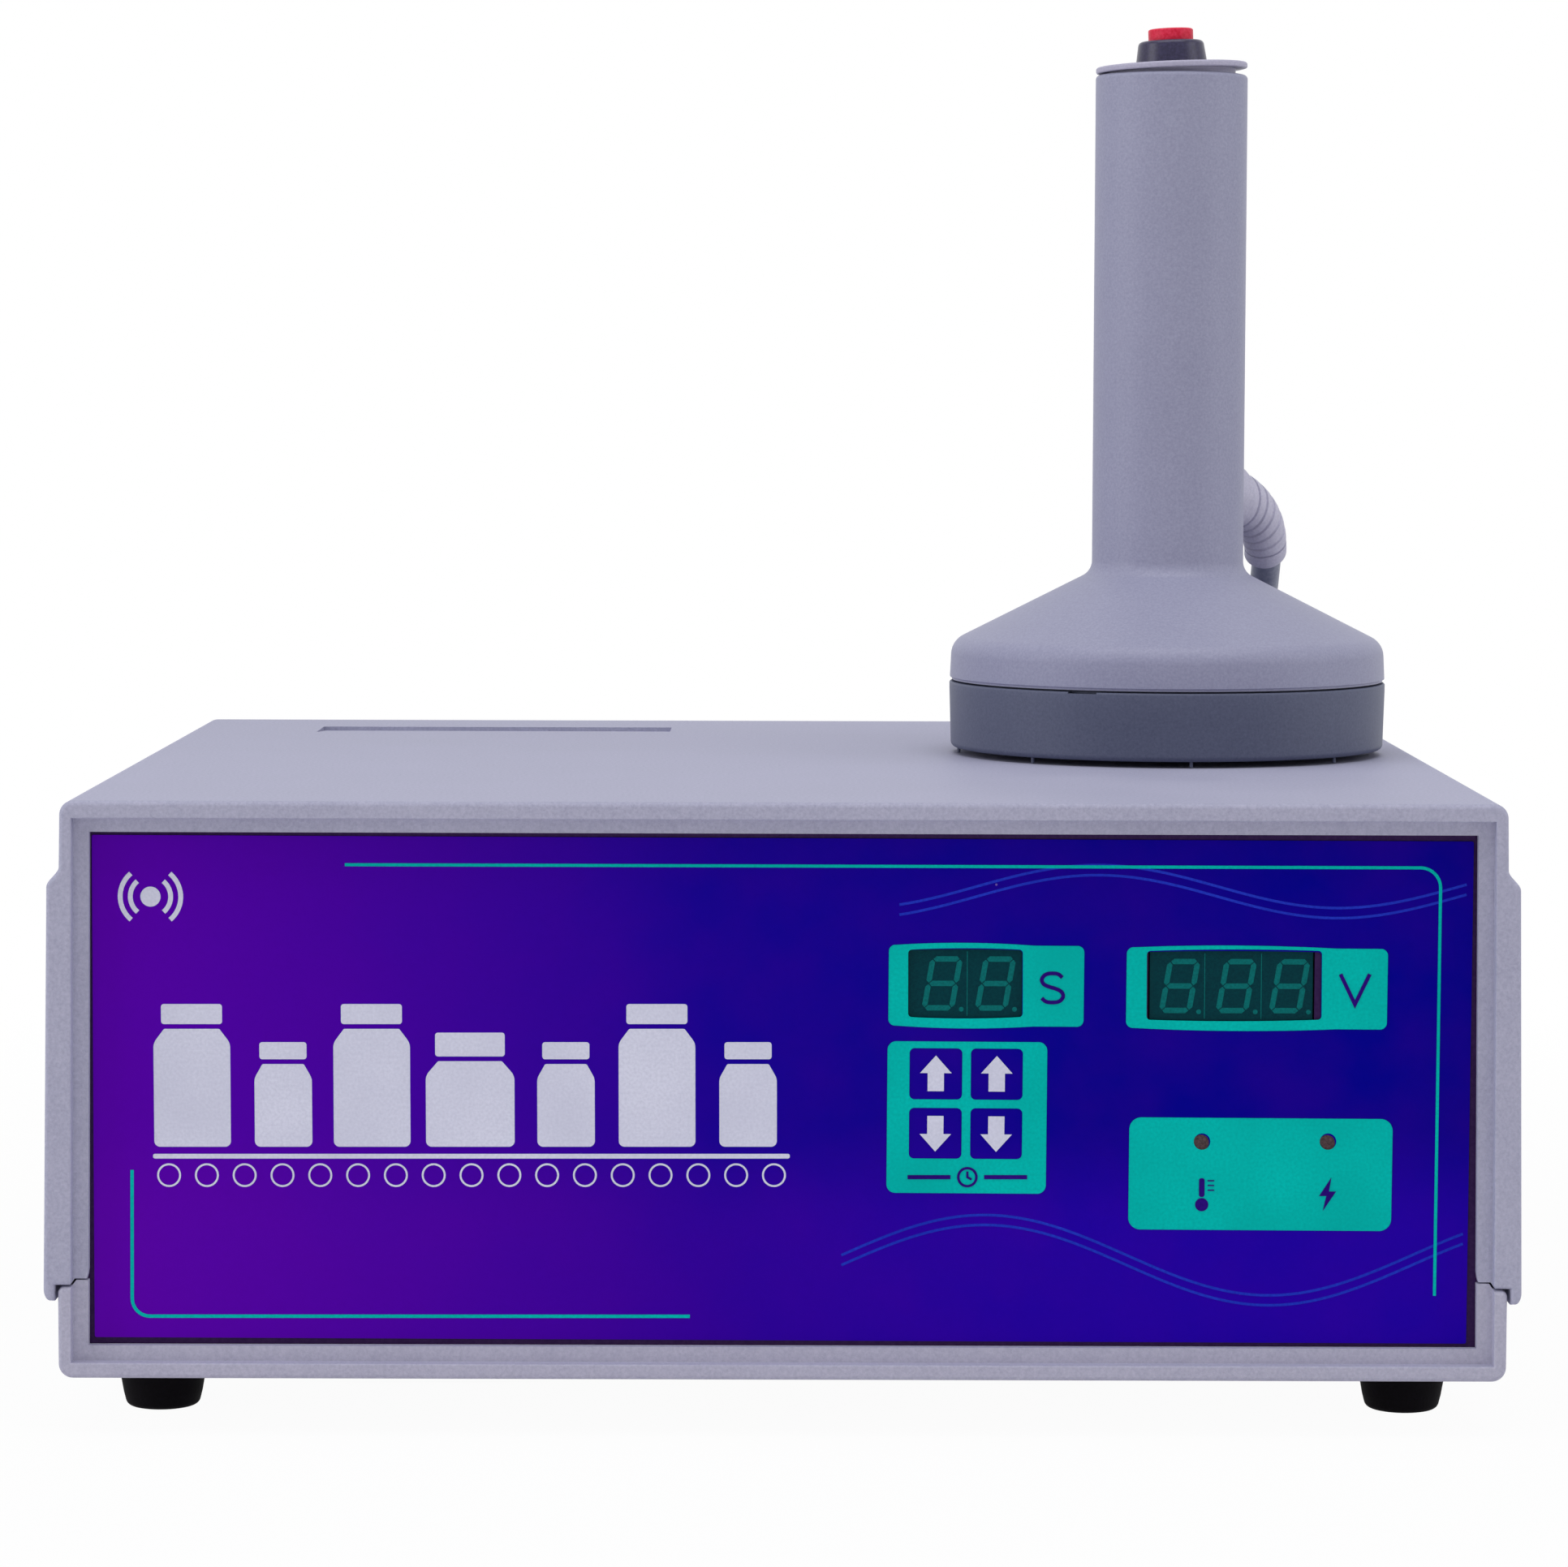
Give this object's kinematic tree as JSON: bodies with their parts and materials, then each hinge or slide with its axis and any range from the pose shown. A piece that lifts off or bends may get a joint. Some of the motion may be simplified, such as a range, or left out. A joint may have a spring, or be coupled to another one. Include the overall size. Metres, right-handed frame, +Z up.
{
  "type": "induction cap sealing machine",
  "caption": "Benchtop induction cap sealer: flat plastic instrument case with printed control film, and a hand-held sealing head with push-button standing on it.",
  "frame": {"origin": "on the surface that the rubber feet stand on, in the middle of the machine's width and depth without its cable", "axes": "+X to the right as seen from the front, +Y from the front panel to the rear panel, +Z up"},
  "size_m": [0.3082, 0.3595, 0.3031],
  "materials": {
    "case_plastic": "light lavender grey moulded ABS, fine texture",
    "head_plastic": "lavender grey moulded ABS, satin",
    "base_plastic": "dark blue-grey moulded ABS, satin",
    "black_plastic": "near black moulded plastic",
    "printed_film": "violet printed polyester film",
    "display": "dark green display resin",
    "lamp_lens": "clear smoked lens",
    "circuit_board": "green solder mask",
    "plated_steel": "zinc plated",
    "plated_brass": "nickel plated",
    "bare_aluminium": "extruded, bare",
    "capacitor_sleeve": "dark blue sleeve",
    "foot_rubber": "moulded black rubber",
    "red_plastic": "red moulded nylon",
    "coil_copper": "enamelled litz wire",
    "ferrite": "sintered, matt dark grey",
    "cable_sheath": "grey PVC sheath"
  },
  "bodies": {
    "machine": {"upper_shell": "case_plastic", "lower_shell": "case_plastic", "handle_housing": "head_plastic", "handle_cap": "head_plastic", "cable_boot": "head_plastic", "coil_base": "base_plastic", "front_panel": "black_plastic", "rear_panel": "black_plastic", "fan_frame": "black_plastic", "mains_inlet": "black_plastic", "rocker_frame": "black_plastic", "fuse_holder": "black_plastic", "fuse_cap": "black_plastic", "cable_gland": "black_plastic", "gland_nut": "black_plastic", "key_switch_1": "black_plastic", "key_switch_2": "black_plastic", "key_switch_3": "black_plastic", "key_switch_4": "black_plastic", "trigger_switch_body": "black_plastic", "front_overlay": "printed_film", "time_display": "display", "voltage_display": "display", "overheat_lamp": "lamp_lens", "overcurrent_lamp": "lamp_lens", "control_board": "circuit_board", "power_board": "circuit_board", "fan_guard": "plated_steel", "case_screw_1": "plated_steel", "case_screw_2": "plated_steel", "case_screw_3": "plated_steel", "case_screw_4": "plated_steel", "switch_nut": "plated_steel", "supply_transformer": "plated_steel", "inlet_pin_1": "plated_brass", "inlet_pin_2": "plated_brass", "inlet_pin_3": "plated_brass", "heat_sink": "bare_aluminium", "bulk_capacitor": "capacitor_sleeve", "resonant_capacitor": "capacitor_sleeve", "rubber_foot_1": "foot_rubber", "rubber_foot_2": "foot_rubber", "rubber_foot_3": "foot_rubber", "rubber_foot_4": "foot_rubber", "induction_coil": "coil_copper", "ferrite_disc": "ferrite", "cable_drop": "cable_sheath", "cable_coil": "cable_sheath", "cable_rise": "cable_sheath"},
    "trigger_button_body": {"trigger_button": "red_plastic"},
    "rocker_body": {"rocker": "black_plastic"},
    "fan_rotor_body": {"fan_rotor": "black_plastic"},
    "key_stem_1_body": {"key_stem_1": "black_plastic"},
    "key_stem_2_body": {"key_stem_2": "black_plastic"},
    "key_stem_3_body": {"key_stem_3": "black_plastic"},
    "key_stem_4_body": {"key_stem_4": "black_plastic"}
  },
  "joints": [
    {"name": "trigger_press", "type": "slide", "parent": "machine", "child": "trigger_button_body", "axis": [0.0384, 0, -0.9993], "range_m": [0, 0.0025], "stiffness_N_per_m": 300, "springref_m": -0.002},
    {"name": "rocker_tilt", "type": "hinge", "parent": "machine", "child": "rocker_body", "pos_m": [-0.108, 0.1158, 0.092], "axis": [1, 0, 0], "range_deg": [0, 20]},
    {"name": "fan_spin", "type": "hinge", "parent": "machine", "child": "fan_rotor_body", "pos_m": [0.012, 0.0937, 0.072], "axis": [0, 1, 0], "continuous": true},
    {"name": "key_1_press", "type": "slide", "parent": "machine", "child": "key_stem_1_body", "axis": [0, 1, 0], "range_m": [0, 0.00025], "stiffness_N_per_m": 2000, "springref_m": -0.0001},
    {"name": "key_2_press", "type": "slide", "parent": "machine", "child": "key_stem_2_body", "axis": [0, 1, 0], "range_m": [0, 0.00025], "stiffness_N_per_m": 2000, "springref_m": -0.0001},
    {"name": "key_3_press", "type": "slide", "parent": "machine", "child": "key_stem_3_body", "axis": [0, 1, 0], "range_m": [0, 0.00025], "stiffness_N_per_m": 2000, "springref_m": -0.0001},
    {"name": "key_4_press", "type": "slide", "parent": "machine", "child": "key_stem_4_body", "axis": [0, 1, 0], "range_m": [0, 0.00025], "stiffness_N_per_m": 2000, "springref_m": -0.0001}
  ]
}
